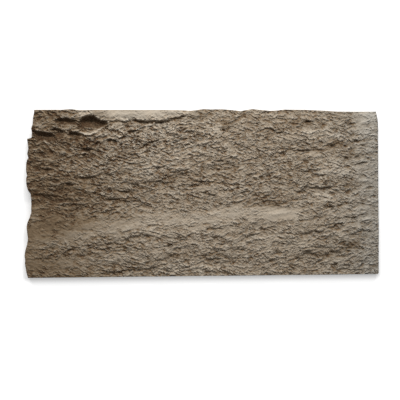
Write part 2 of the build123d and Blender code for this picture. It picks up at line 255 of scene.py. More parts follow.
def blur(field, radius_x, radius_y):
    """Three box blurs of a field, which come close to a bell-shaped one. Radii in grid steps."""
    for _ in range(3):
        for axis, radius in ((1, radius_x), (0, radius_y)):
            if radius < 1:
                continue
            pad = [(0, 0), (0, 0)]
            pad[axis] = (radius + 1, radius)
            total = np.cumsum(np.pad(field, pad, mode="edge"), axis=axis)
            width = 2 * radius + 1
            upper = np.take(total, range(width, total.shape[axis]), axis=axis)
            lower = np.take(total, range(0, total.shape[axis] - width), axis=axis)
            field = (upper - lower) / width
    return field


def cad_face():
    """Height of the solid's face on the fine grid, with its ledges turned ragged."""
    coarse_x = np.arange(LOW.x - MARGIN, HIGH.x + MARGIN + COARSE_X, COARSE_X)
    coarse_y = np.arange(LOW.y - MARGIN, HIGH.y + MARGIN + COARSE_Y, COARSE_Y)
    heights = np.empty((len(coarse_y), len(coarse_x)))
    for row, y in enumerate(coarse_y):
        inside_y = min(max(y, LOW.y + INSET), HIGH.y - TOP_CLEAR)
        start, end = left_at(inside_y) + INSET, right_at(inside_y) - INSET
        for column, x in enumerate(coarse_x):
            inside_x = min(max(x, start), end)
            heights[row, column] = face_height(inside_x, min(inside_y, top_at(inside_x) - INSET))
    face = bilinear(heights, (LX - coarse_x[0]) / COARSE_X, (LY - coarse_y[0]) / COARSE_Y)
    return face * (1 - CAD_SOFTENING) + blur(face, 6, 6) * CAD_SOFTENING


def window(low_x, high_x, low_y, high_y):
    """The part of the fine grid between these places in millimetres."""
    columns = [max(int((x - grid_x[0]) / STEP_X), 0) for x in (low_x, high_x)]
    rows = [max(int((y - grid_y[0]) / STEP_Y), 0) for y in (low_y, high_y)]
    return slice(rows[0], rows[1] + 1), slice(columns[0], columns[1] + 1)


FLAKE_RISE = 0.6  # how far a flake may reach up from its middle, as a share of how far it may reach down


def flake(depths, x, y, turn, half_length, depth, run, bend):
    """Adds the hollow of one broken flake to a field of depths.

    It has a wall along its ledge and a floor that rises away below it. The deepest wins where flakes meet."""
    reach = half_length + run
    part = window(x - reach, x + reach, y - reach, y + reach * FLAKE_RISE)
    dx, dy = WX[part] - x, WY[part] - y
    along = (dx * math.cos(turn) + dy * math.sin(turn)) / half_length
    below = dx * math.sin(turn) - dy * math.cos(turn) + bend * half_length * along**2
    hollow = depth * (1 - below / run) * (1 - along**2)
    hollow = np.where((below > 0) & (below < run) & (abs(along) < 1), hollow, 0)
    depths[part] = np.maximum(depths[part], hollow)


# Places in the photograph where the face is rougher or smoother than elsewhere, in pixels:
# centre, half width, half height, rise to the right in degrees, then the change
ROUGHNESS = [
    (100,135, 60,20, 0, 0.2), (155,136, 62,17, 0, 0.8), (70,155, 45,14, 0, 0.2), (225,180, 60,14, 0, 0.15),
    (137,113.5, 50,7, 1, -1.5), (130,196, 16,6, 0, 0.2), (79,131, 9,2.5, -23, -0.8),
    (46.5,142.5, 6,2, -40, -0.6), (90,133.5, 8,2.5, 5, -0.9), (97,130.5, 7,2.5, 38, -0.8),
    (90,121, 12,5, 0, -0.25), (118,124, 9,4, -10, -0.6), (255,113, 40,4, 0, -0.35), (34,222, 24,24, 0, -0.6),
    (50,241, 24,6, 0, -0.3), (125,155, 50,16, 0, 0.2), (355,160, 22,16, 0, -0.2), (75,230, 46,13, 8, -0.6),
    (118,221, 32,9, 10, -0.4), (165,220, 34,9, 0, -0.45), (212,217, 34,9, 5, -0.45),
    (273,214, 42,9, 0, -0.85), (50,264, 50,10, 0, -0.7), (60,255, 14,4, 0, 0.4), (120,250, 40,10, 0, -0.1),
    (235,246, 150,24, 0, -0.18), (363,115, 26,10, 0, -0.5), (366,190, 20,90, 0, -0.3),
]

# Places where the paint is lighter or darker, in the same form: partly the paint's own lighter and darker
# places, partly painted shade in hollows and under ledges and painted highlight on slabs and crests that face
# the light
SHADE_AND_PAINT_PATCHES = [
    (91,122.5, 14,7, 0, -0.52), (64,120, 10,3, 0, -0.12), (57,122, 5,4, -30, -0.16),
    (44,135, 15,6, -8, -0.44), (46.5,142.5, 6,1.5, -40, 0.25), (74,134, 8,4, -20, -0.14),
    (90,148, 11,9, 35, -0.22), (68,139, 18,6, -10, -0.08), (128,133, 18,6, 20, -0.12),
    (100,133, 10,7, 0, 0.08), (70,168, 14,6, 0, 0.06), (55,195, 60,7, 0, -0.08), (100,203, 40,8, -5, -0.04),
    (155,185, 30,6, 20, -0.07), (185,178, 45,7, 8, -0.07), (228,172, 16,8, -15, -0.08),
    (226,125, 5,4, 20, -0.24), (275,178, 25,7, -15, -0.04), (270,200, 18,6, -10, -0.13),
    (312,190, 30,6, 15, -0.06), (310,148, 28,5, 5, -0.06), (333,145, 9,6, 30, -0.18),
    (275,228, 18,6, 5, -0.08), (125,270, 28,5, 8, -0.05), (212,256, 34,5, 0, -0.11), (352,245, 8,4, 0, -0.3),
    (316,256, 22,5, 0, -0.12), (335,148, 30,8, 0, -0.07), (150,205, 12,5, 0, -0.1), (255,205, 35,5, 0, -0.14),
    (30,206, 6,6, 0, -0.1), (125,216, 25,5, 0, -0.1), (200,114, 12,5, 0, -0.22), (284,114, 10,5, 0, -0.11),
    (290,123, 35,5, 0, -0.05), (60,262, 35,14, 0, 0.05), (44,124, 20,6, 3, 0.12), (79,131, 9,2, -23, 0.18),
    (89,133.3, 7,2.2, 0, 0.2), (97,130.5, 7,2, 38, 0.16), (112,114, 34,6, 0, 0.32), (165,113, 32,5, 0, 0.25),
    (138,116, 26,3.5, 0, 0.24), (180,112, 10,4, 0, 0.16), (121,121, 5,1.3, 0, -0.18),
    (136.5,119.8, 5,1.4, -18, -0.24), (156,121.8, 8,2, 0, -0.28), (176,117.6, 10,1.5, 14, -0.28),
    (155,135, 62,15, 0, 0.12), (112,129, 10,5, 0, 0.1), (82,112, 10,4, 0, 0.36), (262,114, 12,5, 0, 0.1),
    (172,126, 26,5, 0, 0.26), (155,134, 52,9, 0, 0.26), (213,131, 12,6, 0, 0.16), (136,145, 14,5, 0, 0.34),
    (188,144, 20,5, 0, 0.08), (175,156, 70,7, 5, 0.12), (60,152, 30,7, 0, 0.08), (75,168, 30,8, 0, 0.12),
    (162,168, 14,6, 0, 0.14), (232,188, 14,7, 0, 0.13), (85,236, 34,6, 12, 0.1), (60,221, 60,11, 0, -0.1),
    (80,246, 20,6, 0, 0.12), (165,223, 30,8, 0, 0.04), (215,216, 34,7, 8, 0.06), (268,213, 42,6, 0, 0.12),
    (318,199, 15,5, 0, 0.16), (352,197, 20,5, 0, 0.07), (312,133, 12,5, 0, 0.13), (330,137, 15,5, 10, 0.16),
    (368,134, 8,5, 0, 0.22), (240,199, 18,5, 0, 0.12), (34,218, 6,6, 0, 0.2), (155,229, 12,5, 0, 0.1),
    (258,258, 10,5, 0, 0.1), (282,268, 14,4, 0, 0.12), (38,126, 10,3, 0, 0.1), (332,170, 16,8, 10, 0.26),
    (235,244, 110,20, 0, 0.07), (108,260, 18,6, 0, 0.12), (195,267, 34,5, 0, 0.22), (370,264, 7,5, 0, 0.18),
    (369,115, 11,7, 0, 0.27), (100,113, 9,5, 0, -0.24), (80,123, 10,5, 0, -0.24), (225,123, 14,6, 0, -0.21),
    (125,143, 13,6, 0, 0.33), (350,155, 12,6, 0, -0.21), (350,185, 12,6, 0, -0.21), (350,245, 12,6, 0, -0.24),
    (80,113, 9,4, 0, 0.27), (325,255, 12,5, 0, -0.18), (150,170, 12,7, 0, 0.21), (300,123, 13,5, 0, -0.21),
    (175,255, 13,5, 0, -0.18), (325,195, 12,5, 0, 0.18), (45,245, 9,6, 0, 0.18), (60,245, 9,6, 0, 0.15),
    (45,133, 9,6, 0, 0.18),
]

# How the paint changes from the left end to the right, as places in pixels and the change there
TONE_ACROSS = [
    (30, -0.215), (60, -0.155), (80, -0.075), (95, 0.015), (125, 0.145), (155, 0.215), (200, 0.235),
    (300, 0.235), (350, 0.255), (376, 0.265),
]
WARMTH_ACROSS = [
    (30, -0.10), (60, -0.12), (95, -0.06), (155, -0.04), (290, -0.04), (330, -0.15), (355, -0.42),
    (374, -0.88),
]


def across(stops):
    """A field that follows the stops from left to right."""
    places = [on_face(px, PANEL_CENTRE_PX[1])[0] for px, _ in stops]
    return np.interp(X, places, [change for _, change in stops])


def ovals(patches):
    """Sum of bell-shaped ovals on the fine grid."""
    total = np.zeros(X.shape)
    for px, py, half_width, half_height, rise, change in patches:
        x, y = on_face(px, py)
        turn = math.radians(rise)
        along = ((X - x) * math.cos(turn) + (Y - y) * math.sin(turn)) / (half_width * MM_PER_PX)
        across = ((Y - y) * math.cos(turn) - (X - x) * math.sin(turn)) / (half_height * MM_PER_PX)
        total += change * np.exp(-1.2 * (along**2 + across**2))
    return total


# How strong the relief and the grain are, and the zones where the relief lies in one direction and not
# in the other
strength = 0.95 + 0.3 * wander(X, Y, 90, 50, 61) + 0.25 * wander(X, Y, 40, 20, 62)
strength = np.clip(strength + ovals(ROUGHNESS), 0.15, 2.1)
wide_zone = smooth(0.5 + 2.0 * wander(WX, WY, 70, 36, 63))
fine_zone = smooth(0.5 + 2.0 * wander(WX, WY, 36, 20, 64))

# Ledges read off the photograph, each as x and y in pixels of the points of its upper edge,
# from left to right. They are listed by how dark the line looks.
DEEP_LEDGES = [
    (82,120, 84,116, 88,115, 94,116, 97,119, 101,120, 108,120), (57,119, 63,118.5, 70,119, 78,120),
    (40,131, 47,132, 52,134, 56,138), (82,148, 85,147.5, 88,148.5, 91,148), (89,135, 94,134, 98,131),
    (105,138.5, 109,138, 113,139, 118,139.5), (132,117.5, 136,119, 141,120),
    (168,118, 172,118, 178,116.5, 182,115, 186,114.5), (198,119.5, 202,118.5, 205,118),
    (224,126, 226,124, 229,124, 232,126), (302,122, 306,120.5, 308,119.5, 310,121, 313,122.5),
    (326,143, 331,142.5, 334,141, 338,141.5), (174,132.5, 179,133), (348,123, 352,122.5, 357,122),
    (274,123.5, 279,124), (31,152, 35,151.5, 38,151.5, 46,152), (79,152.5, 83,153, 88,152, 94,152),
    (59,155.5, 63,155, 65,155.5), (29,159.5, 36,159.5), (32,164, 38,163.5, 44,162.5), (110,160.5, 115,160.5),
    (27,189, 31,192, 37,192.5, 43,193, 47,192, 51,192.5, 55,195, 59,195),
    (60,194.5, 66,193.5, 70,194, 74,193), (88,191.5, 93,191.5, 97,192, 101,190),
    (139,152.5, 145,151.5, 148,152, 151,154), (154,165.5, 158,166, 164,165.5), (117,176.5, 122,176.5),
    (160,173.5, 165,174.5, 172,174.5), (149,178.5, 153,179, 156,181), (134,187.5, 138,186.5, 143,188),
    (103,198, 112,198.5, 120,198, 127,197.5, 133,197, 138,199, 142,200),
    (141,200, 145,201.5, 149,203.5, 152,206.5, 155,207.5), (169,192.5, 173,194, 178,193),
    (221,171, 225,173, 229,172.5, 232,171.5), (257,176.5, 261,175.5, 267,175.5),
    (208,181.5, 212,181.5, 218,183), (276,192.5, 281,193), (267,200, 271,199.5, 274,201, 277,204, 281,205),
    (293,164.5, 298,164, 302,162.5), (299,199, 305,198.5), (319,155, 322,155.5, 324,155),
    (320,204.5, 326,205.5, 330,205.5, 335,206), (48,224.5, 52,224, 55,223, 58,224), (26,225, 32,225),
    (60,254, 66,254.5, 69,253.5, 73,253), (78,255, 84,255, 87,257, 90,260, 93,263),
    (32,256.5, 37,257.5, 42,259), (146,268, 150,266.5, 155,266.5, 160,265.5),
    (153,259, 158,259.5, 162,260, 165,258.5), (122,266.5, 128,266, 135,267, 143,265.5),
    (197,257.5, 204,256.5, 210,258, 216,257, 222,258),
    (222,256.5, 225,255, 229,255.5, 233,257.5, 236,256, 241,255, 246,255.5), (244,260, 249,261.5),
    (328,250.5, 333,250, 338,250.5), (322,253.5, 330,254), (333,255.5, 340,255, 347,255),
    (361,232.5, 365,232, 370,233.5), (306,226.5, 313,226.5), (111,269.5, 116,271, 120,270.5, 127,269.5),
]
MIDDLE_LEDGES = [
    (63,110, 68,110, 73,113), (76,121, 82,120, 88,121, 95,124, 100,126), (69,127, 74,126, 80,126.5),
    (80,127, 84,127, 88,130), (70,128.5, 78,131.5, 84,134.5, 89,135),
    (66,134, 70,131.5, 75,131.5, 79,133.5, 83,136.5), (31,130, 36,129.5, 41,132),
    (48,129.5, 53,127.5, 58,128, 64,131.5), (41,141.5, 47,143, 50,146), (48,149, 51,151, 55,153.5),
    (103,126, 107,125, 112,125), (119,119, 122,120.5, 125,122), (145,120, 150,119.5, 158,120, 166,120.5),
    (148,127.5, 156,127.5), (126,131, 131,130, 142,129), (116,137.5, 121,136.5, 126,133.5),
    (131,139.5, 138,139), (109,152.5, 113,151.5, 118,154), (192,125, 196,126.5, 199,128),
    (183,126.5, 187,130), (183,132.5, 188,132, 192,129.5), (183,135.5, 190,135.5, 196,135.5, 201,137),
    (175,142.5, 180,144.5, 188,144), (195,143.5, 200,144.5, 204,143.5, 209,141.5),
    (214,142, 219,142, 224,144), (220,128, 225,128.5), (238,124, 243,122, 248,122),
    (251,121.5, 254,123, 259,122), (269,121, 274,121.5), (286,121, 290,122, 294,123, 298,122),
    (283,119, 288,118.5), (212,115.5, 217,115.5), (262,128, 268,128, 275,128.5),
    (275,131, 280,131.5, 285,131.5), (303,127.5, 310,129.5), (265,138, 272,138.5, 281,139),
    (245,141, 249,143, 254,145), (263,141, 268,141.5), (261,142.5, 268,143, 273,142, 278,143.5),
    (280,146.5, 286,148, 290,148.5, 297,147.5), (272,151, 277,149, 280,148), (277,152, 284,152),
    (296,149.5, 300,150.5, 306,149.5, 312,149.5), (306,147, 312,146.5, 317,147),
    (327,113.5, 332,113.5, 337,115), (331,122, 336,123.5, 340,125.5, 345,127),
    (319,123.5, 325,123.5, 330,122.5), (349,139.5, 353,139, 356,140.5, 360,139.5),
    (333,140.5, 337,139.5, 341,142), (316,149, 322,149, 326,148), (335,149, 342,150, 347,149),
    (359,134, 362,135, 366,134.5), (242,151, 247,152), (52,155.5, 57,155), (65,156.5, 71,158),
    (27,163, 32,163.5), (54,164.5, 59,166), (69,161.5, 75,161.5), (44,169, 50,168.5, 54,168.5),
    (51,172.5, 57,174.5), (59,175, 66,174, 70,175, 73,178), (57,185, 62,182.5, 67,182.5, 75,184),
    (71,186.5, 76,189, 81,191), (43,195.5, 48,197.5, 56,198), (59,202.5, 64,204, 69,203, 75,203, 84,201),
    (84,205.5, 90,206.5, 94,204.5, 98,206, 104,208), (99,201.5, 104,202.5, 109,205.5), (63,208.5, 69,209.5),
    (69,208.5, 76,208, 81,207.5), (79,178.5, 84,176.5, 88,176.5, 93,175.5, 98,174.5, 102,171.5),
    (91,167.5, 96,166.5, 102,164), (102,171.5, 108,173.5, 114,176), (100,183.5, 104,186, 109,187),
    (117,163.5, 121,163, 125,162.5), (131,158.5, 135,157.5, 138,157), (153,157, 157,156, 160,157),
    (165,151.5, 170,152.5, 176,152), (183,152.5, 191,151.5), (192,154, 197,155, 201,157),
    (186,157.5, 193,159), (121,172.5, 129,171.5), (171,171.5, 179,171), (188,170.5, 193,170),
    (191,174.5, 195,173.5, 200,174), (157,180, 163,179.5, 168,180), (178,179.5, 184,180.5, 193,179.5),
    (187,183.5, 192,184.5, 201,184), (134,181.5, 140,184.5), (140,182.5, 147,182),
    (120,181, 127,183, 132,184.5), (114,189.5, 120,190.5, 129,190.5), (148,196.5, 153,198.5, 159,202),
    (159,206.5, 164,206, 169,208.5, 174,210), (179,193.5, 185,193, 190,194), (187,200.5, 192,202, 200,199.5),
    (197,165.5, 203,166.5, 208,165, 214,161.5), (218,158.5, 224,160, 230,162, 236,163.5, 241,164.5),
    (214,168.5, 219,168.5, 222,171), (216,174.5, 223,174.5), (244,162.5, 248,164.5, 258,165),
    (245,173.5, 249,174.5, 254,173.5), (251,176, 255,177.5, 259,180), (258,169, 262,169.5, 265,168, 269,170),
    (271,162.5, 277,163), (280,162.5, 286,162), (285,158.5, 291,158.5), (283,172.5, 287,170.5, 292,170.5),
    (274,183.5, 279,183, 282,185), (265,178.5, 270,183.5, 273,186), (216,190, 220,189.5, 224,190),
    (200,189.5, 205,192.5, 210,194.5, 218,193.5), (222,196.5, 231,196.5), (238,191.5, 246,191.5),
    (264,191, 270,191.5, 277,192), (262,193.5, 269,196), (251,199.5, 256,198.5, 262,199, 268,200),
    (232,199.5, 238,201.5, 244,201), (216,204, 221,203, 225,204.5), (302,171, 308,170, 313,168.5, 321,168.5),
    (314,176.5, 320,175.5, 325,173, 329,172.5), (294,177, 298,176.5, 302,178, 309,178.5),
    (305,184.5, 310,184, 315,185.5), (292,189, 296,191, 302,190.5, 309,190), (321,187.5, 327,186, 332,187),
    (323,191.5, 329,191, 336,193), (335,205.5, 340,203.5, 344,202.5), (341,155, 346,156.5, 353,155.5),
    (342,166.5, 346,165.5, 351,165.5), (352,164.5, 357,163, 362,161.5, 369,161),
    (340,189, 346,190, 351,189.5), (346,196, 353,196), (363,188.5, 367,186.5, 371,185, 377,186.5),
    (359,201.5, 364,203.5, 373,204.5), (39,235, 43,235.5, 47,235), (95,245.5, 100,244, 106,242.5, 113,241.5),
    (47,249.5, 50,252.5, 53,255, 58,256.5, 62,259), (91,260.5, 99,260.5), (27,269.5, 35,271),
    (78,265, 83,264.5), (107,262.5, 116,263.5), (99,273, 106,273.5, 116,274),
    (134,207.5, 138,210.5, 143,211.5, 152,209), (158,212.5, 163,211.5, 168,211),
    (138,228.5, 143,230, 149,229.5), (115,241, 120,243), (121,239, 126,237.5, 130,238),
    (142,233.5, 150,235, 156,234.5), (165,242.5, 171,245.5), (188,241.5, 193,243.5, 200,244.5),
    (170,248, 176,247.5, 183,246.5), (167,254.5, 174,253.5, 178,254.5, 183,252.5),
    (180,257.5, 184,259.5, 191,258), (143,263.5, 147,261.5, 151,260.5), (173,264.5, 178,263.5, 183,262.5),
    (126,268.5, 133,270.5, 137,269.5), (182,267.5, 187,265.5, 192,266.5), (208,226.5, 213,227.5, 225,227.5),
    (227,225, 231,224.5, 235,222.5), (239,218, 243,218.5, 248,220), (246,225.5, 251,225.5),
    (250,221.5, 257,223), (197,233.5, 201,235.5, 209,234), (257,231.5, 262,231, 267,233),
    (256,226.5, 263,228.5, 269,229), (282,234.5, 289,235.5), (251,237, 256,239, 259,241),
    (245,241.5, 250,242.5, 254,244.5), (202,241.5, 207,239.5, 211,240, 215,238.5),
    (234,246.5, 240,248.5, 247,247.5), (218,248.5, 224,250, 228,247.5), (198,253.5, 204,255, 209,252.5),
    (255,259.5, 262,259.5), (261,261.5, 267,260.5, 271,258.5, 277,257), (239,266.5, 244,267.5, 249,265.5),
    (341,215.5, 346,215.5, 350,217, 359,215.5), (359,213.5, 364,213, 369,214.5),
    (328,226.5, 332,225.5, 334,223.5, 337,222, 341,223, 346,226.5), (302,232.5, 308,232, 312,232.5),
    (312,239, 316,238, 320,238.5), (304,240.5, 310,240.5), (318,234.5, 325,235.5, 330,234.5),
    (345,233.5, 351,233.5, 358,233.5), (337,237.5, 342,236, 346,236.5), (297,247.5, 302,249.5, 312,249.5),
    (337,246.5, 341,246, 346,247), (309,252.5, 314,254, 317,253), (294,256.5, 299,257.5, 304,259.5),
    (312,262.5, 318,260.5, 322,259.5), (328,264, 334,263, 340,261.5), (342,264.5, 348,263.5, 351,265),
    (358,264.5, 364,264, 368,262.5), (349,268.5, 355,268.5, 359,267.5),
    (353,246.5, 359,245, 363,247.5, 369,251),
]
SHALLOW_LEDGES = [
    (79,137, 82,140, 84,143), (86,149, 93,144, 100,140), (93,149.5, 102,151.5), (110,120, 119,120),
    (138,137.5, 145,135.5), (150,134, 156,135.5, 163,138.5), (162,132.5, 173,133.5), (142,144.5, 148,144.5),
    (123,147.5, 127,147.5), (165,152, 170,152), (172,126.5, 177,128.5), (176,111, 180,110),
    (202,130, 212,130), (239,132, 245,134), (191,146.5, 197,147.5), (213,150.5, 220,150, 227,150.5),
    (229,150.5, 235,150), (228,147, 233,144.5, 240,148.5, 244,151.5), (202,152, 210,152.5, 215,151.5),
    (296,117.5, 302,118), (301,112.5, 308,114), (299,129.5, 302,129.5), (249,137, 254,135.5, 263,134),
    (284,142.5, 290,143), (301,139.5, 310,140.5), (256,150, 261,152), (269,152.5, 275,152.5),
    (317,139, 322,141, 325,143), (316,112.5, 322,112.5), (335,118.5, 344,117.5),
    (353,119.5, 358,120.5, 362,119.5), (357,125.5, 364,128), (317,132.5, 323,133, 327,133.5),
    (316,134.5, 322,136.5), (339,129.5, 347,130.5), (349,133.5, 355,133, 360,130.5),
    (344,144.5, 350,143.5, 354,144), (359,145, 365,144), (321,152.5, 326,152.5),
    (349,153.5, 356,155.5, 361,154.5), (365,138.5, 375,138.5), (365,131.5, 373,131),
    (43,178.5, 50,178, 59,179), (32,181.5, 37,181.5), (26,185.5, 33,185.5), (37,182.5, 43,187),
    (35,190.5, 41,190.5), (57,190.5, 63,190.5), (75,197.5, 85,197.5), (38,208, 43,208.5, 47,208.5),
    (84,182.5, 88,182.5), (101,168, 111,169), (101,176.5, 109,177.5), (91,182.5, 97,184),
    (89,156.5, 95,159.5, 100,162.5, 106,166), (96,154, 101,156.5, 107,160), (100,160, 106,163, 112,166),
    (125,167, 128,166), (117,166.5, 123,166), (146,160, 152,162.5), (133,168.5, 138,168),
    (112,170.5, 117,170), (181,174.5, 187,174.5), (171,177.5, 177,178.5), (161,182.5, 166,182.5),
    (145,184, 149,186), (142,190, 147,188.5), (120,192.5, 126,193), (129,192.5, 135,192.5),
    (176,195.5, 181,195), (167,202.5, 172,203), (226,165, 231,164.5), (221,166.5, 227,168, 232,166.5),
    (238,159.5, 245,161), (263,162.5, 269,162.5), (275,180, 280,177.5, 285,175.5), (271,187.5, 277,187.5),
    (212,186.5, 219,187.5), (221,193, 227,190.5), (229,188.5, 235,190.5), (246,185.5, 255,184),
    (257,190.5, 263,192.5), (243,202.5, 251,201.5), (199,201.5, 205,202, 211,201), (225,203, 231,205),
    (302,160.5, 309,161), (329,172, 334,172), (291,184.5, 296,185.5, 301,184), (313,189.5, 321,190),
    (292,198, 298,199.5), (299,205.5, 306,206.5), (321,152.5, 327,152.5), (364,168.5, 370,168.5),
    (351,169, 357,168), (335,179.5, 340,180.5), (343,182.5, 349,183.5), (351,194.5, 357,193.5, 362,192),
    (365,200.5, 372,200), (58,210.5, 64,215), (83,214, 88,214), (59,232.5, 65,232.5), (49,229.5, 59,230.5),
    (89,241.5, 94,241), (97,238, 101,240), (105,235.5, 113,235), (86,246.5, 93,251), (72,255.5, 77,258),
    (45,257.5, 50,257), (70,259.5, 77,260.5), (73,262.5, 81,263), (56,270.5, 61,271.5), (80,272.5, 85,271.5),
    (118,216.5, 128,216.5), (127,224.5, 132,225), (146,224.5, 155,224.5, 166,224), (119,231.5, 125,230.5),
    (127,234.5, 132,234.5), (153,235.5, 159,238), (139,242.5, 147,243.5), (121,247.5, 128,247),
    (152,244.5, 160,243.5), (129,252.5, 134,250.5, 139,249.5), (141,252.5, 146,251, 151,250),
    (164,250, 171,249), (119,255, 125,256.5), (133,259.5, 140,262), (164,257.5, 170,258.5),
    (190,251.5, 200,250.5), (231,230.5, 237,229), (240,231.5, 247,231.5), (199,231, 204,229),
    (270,225.5, 275,224.5, 278,225.5), (270,231.5, 275,231.5), (238,240.5, 245,239.5), (275,242.5, 281,242.5),
    (227,244.5, 233,244), (210,247.5, 216,247), (245,249.5, 253,249.5), (267,250.5, 272,250.5),
    (229,250, 235,251), (258,247.5, 264,247.5, 269,246), (273,249, 280,247.5, 289,247),
    (212,260.5, 219,260.5), (208,263.5, 215,264), (213,265.5, 221,264.5), (260,266.5, 267,269),
    (279,261.5, 287,261.5), (308,207, 312,213), (322,214, 328,214), (307,222, 311,222.5),
    (313,220.5, 319,220), (321,221.5, 327,221), (312,228.5, 318,231.5), (291,236, 297,236.5),
    (333,218.5, 338,217.5, 343,215.5), (351,224.5, 357,224), (371,228, 376,226.5), (332,241.5, 337,241.5),
    (306,259.5, 313,260.5), (292,263.5, 299,262.5), (338,265.5, 343,269), (346,249.5, 354,251.5),
    (350,262.5, 355,262.5), (360,270.5, 365,270.5),
]

# How each kind of ledge is cut, in millimetres: its depth, how far its floor runs down the face
# before it is level again, and how far the lit lip above it stands up
LEDGE_FORMS = [
    (DEEP_LEDGES, 1.5, 18.0, 0.9),
    (MIDDLE_LEDGES, 1.9, 15.0, 0.7),
    (SHALLOW_LEDGES, 1.6, 12.0, 0.5),
]
LIP_RUN = 9.0  # how far up the face the lip dies out
LEDGE_END = 14.0  # over which a ledge dies out at each end
LEDGE_SHIFT = 4.0  # about the most that the random shift of the grid moves a ledge
RUN_AT_END = 0.4  # share of its run that a floor keeps at the ends of its ledge

# The largest hollows and crests, each with its own depth, run and lip in millimetres, then its points
SCOOPS = [
    (6.0, 44.0, 0.5, (76,121, 79,120.5, 82,116, 86,115, 93,115, 97,117.5, 101,119.5, 109,120.5)),
    (1.8, 12.0, 0.5, (105,119.8, 113,120.3, 119,120, 127,121.5)),
    (2.6, 14.0, 0.5, (130,117.3, 136,119, 141,120.3, 150,121)),
    (2.8, 16.0, 0.5, (147,120.5, 155,120, 163,119.8, 169,118.3, 177,116.8, 187,114.8)),
    (3.0, 20.0, 0.5, (53,120.5, 57,118, 64,117.5, 71,118.5, 78,120.5)),
    (3.0, 38.0, 2.0, (31,129.5, 38,130.5, 44,131.5, 50,132.5, 58,137)),
    (2.4, 18.0, 2.0, (66,133.5, 71,131, 75,131, 79,134, 83,137)),
    (2.0, 15.0, 1.5, (49,129.5, 54,127, 58,128.5, 64,132.5)),
    (1.2, 14.0, 4.0, (69,130.5, 76,131.5, 82,134, 87,135, 93,133.5, 97,131, 103,127, 108,124.5)),
    (2.2, 16.0, 2.0, (104,139.5, 110,138.5, 116,139.5, 121,137, 125,134.5, 129,134.5)),
    (1.8, 14.0, 1.5, (125,131.5, 131,129.5, 136,130, 142,127, 146,126.5)),
    (2.6, 16.0, 1.5, (80,148.5, 84,147.5, 88,148.5, 92,149)),
    (1.5, 14.0, 4.0, (40,138.5, 44,141, 48,145.5, 51,149, 55,153)),
    (1.4, 14.0, 1.5, (57,154, 62,154.5, 68,156, 74,155.5)),
    (1.4, 14.0, 1.5, (79,154, 84,154, 90,153)),
]
SCOOP_BOWL = 3.0  # the more, the longer the floor of such a hollow stays low before it rises
HOLLOW_SHADE = 0.035  # painted shade: how much darker the paint gets with each millimetre of a ledge's hollow
LIP_HIGHLIGHT = 0.035  # painted highlight: and how much lighter with each millimetre of its lip


def ledge(depths, lips, points, depth, run, lip, bowl):
    """Adds the hollow under one ledge, and the lip above it, to the fields of depths and lips."""
    places = [on_face(px + 0.5, py + 0.5) for px, py in zip(points[::2], points[1::2])]
    line_x, line_y = np.array(places).T
    part = window(line_x[0] - LEDGE_SHIFT, line_x[-1] + LEDGE_SHIFT,
                  line_y.min() - run - LEDGE_SHIFT, line_y.max() + LIP_RUN + LEDGE_SHIFT)
    x, y = LX[part], LY[part]
    end = min(LEDGE_END, 0.5 * (line_x[-1] - line_x[0]))
    fade = smooth(np.minimum(x - line_x[0], line_x[-1] - x) / end)
    below = np.interp(x, line_x, line_y) - y
    reach = run * (RUN_AT_END + (1 - RUN_AT_END) * fade) + 1e-6
    sunk = 1 - np.clip(below / reach, 0, 1)**bowl
    hollow = np.where((below > 0) & (below < reach), depth * fade * sunk, 0)
    raised = np.where((below <= 0) & (below > -LIP_RUN), lip * fade * (1 + below / LIP_RUN), 0)
    depths[part] = np.maximum(depths[part], hollow)
    lips[part] = np.maximum(lips[part], raised)


def read_ledges():
    """Height that the ledges add to the face, and the painted shade in their hollows and painted highlight on
    their lips.
    """
    height, paint = np.zeros(X.shape), np.zeros(X.shape)
    kinds = [[(points, depth, run, lip, 1.0) for points in ledges] for ledges, depth, run, lip in LEDGE_FORMS]
    kinds.append([(points, depth, run, lip, SCOOP_BOWL) for depth, run, lip, points in SCOOPS])
    for ledges in kinds:
        depths, lips = np.zeros(X.shape), np.zeros(X.shape)
        for form in ledges:
            ledge(depths, lips, *form)
        height += lips - depths
        # Painted highlight on the lips and painted shade in the hollows under the ledges
        paint += LIP_HIGHLIGHT * lips - HOLLOW_SHADE * depths
    return height, paint


# Flakes scattered over the face: how many, then the least and most of half length, depth and run
FLAKE_SIZES = [
    (120, (30, 75), (1.0, 2.6), (20, 42)),
    (900, (18, 38), (0.7, 1.8), (9, 19)),
    (3500, (10, 20), (0.5, 1.4), (5, 10)),
]
FLAKE_BENDS = (-0.35, 0.35)  # how far the ends of a flake turn down or up, as a share of its half length
# Turn of a flake in degrees: the least, then what the zone, a slow wander and chance add to it
LEAST_TURN, ZONE_TURN, SLOW_TURN, CHANCE_TURN = -14, 27, 8, 6


def scattered_flakes():
    """Depth of the scattered flakes. Flakes of one size cut each other off, and the sizes add up."""
    rng = np.random.default_rng(41)
    lean = wander(X, Y, 120, 70, 42)
    total = np.zeros(X.shape)
    for count, lengths, depths, runs in FLAKE_SIZES:
        layer = np.zeros(X.shape)
        for _ in range(count):
            x = rng.uniform(LOW.x, HIGH.x)
            y = rng.uniform(LOW.y, HIGH.y + 10)
            row = min(int((y - grid_y[0]) / STEP_Y), len(grid_y) - 1)
            column = min(int((x - grid_x[0]) / STEP_X), len(grid_x) - 1)
            turn = LEAST_TURN + ZONE_TURN * wide_zone[row, column] + SLOW_TURN * lean[row, column]
            turn += rng.normal(0, CHANCE_TURN)
            depth = rng.uniform(*depths) * strength[row, column]
            half_length, run, bend = rng.uniform(*lengths), rng.uniform(*runs), rng.uniform(*FLAKE_BENDS)
            flake(layer, x, y, math.radians(turn), half_length, depth, run, bend)
        total += layer
    return total


def turned(rise):
    """The strongly shifted grid, turned so that its rows rise to the right by some degrees."""
    turn = math.radians(rise)
    return WX * math.cos(turn) + WY * math.sin(turn), WY * math.cos(turn) - WX * math.sin(turn)


def crossed(zone, rises, form, *settings):
    """A form laid in one direction in some zones of the face and in another one in the rest."""
    return zone * form(*turned(rises[0]), *settings) + (1 - zone) * form(*turned(rises[1]), *settings)


